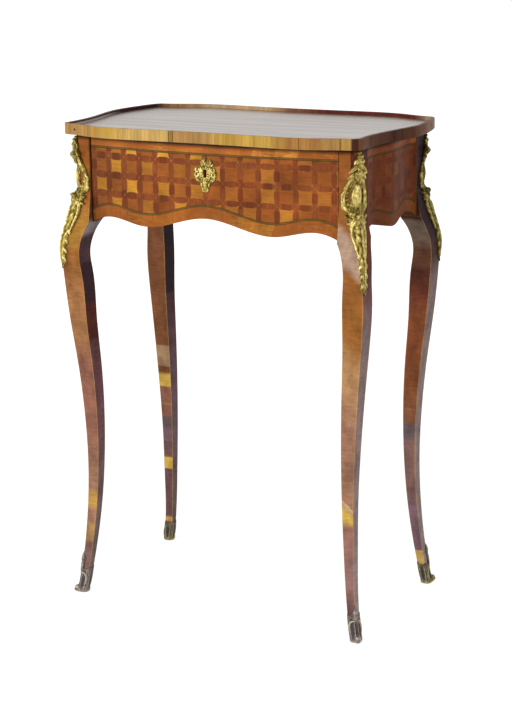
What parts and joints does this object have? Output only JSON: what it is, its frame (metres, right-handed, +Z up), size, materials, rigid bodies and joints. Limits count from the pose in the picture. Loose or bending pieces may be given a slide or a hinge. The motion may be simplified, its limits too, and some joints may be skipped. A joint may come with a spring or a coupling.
{
  "type": "side table",
  "caption": "Small side table with cabriole legs, dished top with canted corners, parquetry frieze with a lockable drawer, and gilt bronze mounts.",
  "frame": {"origin": "on the floor, under the middle of the table", "axes": "+Z up, the drawer faces -Y, +X to the right of someone facing the drawer"},
  "size_m": [0.5044, 0.3156, 0.72],
  "materials": {
    "veneer": "polished crossbanded veneer and parquetry",
    "gilt_bronze": "cast and chased, worn gilding",
    "oak": "planed, unpolished",
    "dark_wood": "polished plug",
    "lock_brass": "filed sheet, tarnished",
    "iron": "filed, dark"
  },
  "bodies": {
    "table": {"leg_front_left": "veneer", "leg_front_right": "veneer", "leg_back_left": "veneer", "leg_back_right": "veneer", "apron_left": "veneer", "apron_right": "veneer", "apron_back": "veneer", "top_board": "veneer", "rim_front": "veneer", "rim_back": "veneer", "rim_left": "veneer", "rim_right": "veneer", "chute_front_left": "gilt_bronze", "chute_front_right": "gilt_bronze", "chute_back_left": "gilt_bronze", "chute_back_right": "gilt_bronze", "sabot_front_left": "gilt_bronze", "sabot_front_right": "gilt_bronze", "sabot_back_left": "gilt_bronze", "sabot_back_right": "gilt_bronze", "chute_pins": "gilt_bronze", "sabot_pins": "gilt_bronze", "front_lower_rail": "oak", "front_top_rail": "oak", "drawer_stops": "oak", "glue_blocks": "oak", "tenon_pegs": "oak", "runner_left": "oak", "runner_right": "oak", "guide_left": "oak", "guide_right": "oak", "kicker_left": "oak", "kicker_right": "oak", "rim_peg": "dark_wood", "lock_strike": "lock_brass", "top_screws": "iron", "strike_screws": "iron"},
    "drawer": {"drawer_front": "veneer", "drawer_back": "oak", "drawer_bottom": "oak", "drawer_side_left": "oak", "drawer_side_right": "oak", "drawer_bottom_nails": "iron", "escutcheon": "gilt_bronze", "escutcheon_pins": "gilt_bronze", "lock_plate": "lock_brass", "lock_cap": "lock_brass", "lock_spring": "iron", "lock_key_pin": "iron", "lock_screws": "iron"},
    "bolt": {"lock_bolt": "iron"}
  },
  "joints": [
    {"name": "drawer_slide", "type": "slide", "parent": "table", "child": "drawer", "axis": [0, -1, 0], "range_m": [0, 0.15]},
    {"name": "lock_bolt_throw", "type": "slide", "parent": "drawer", "child": "bolt", "axis": [0, 0, 1], "range_m": [0, 0.006]}
  ]
}
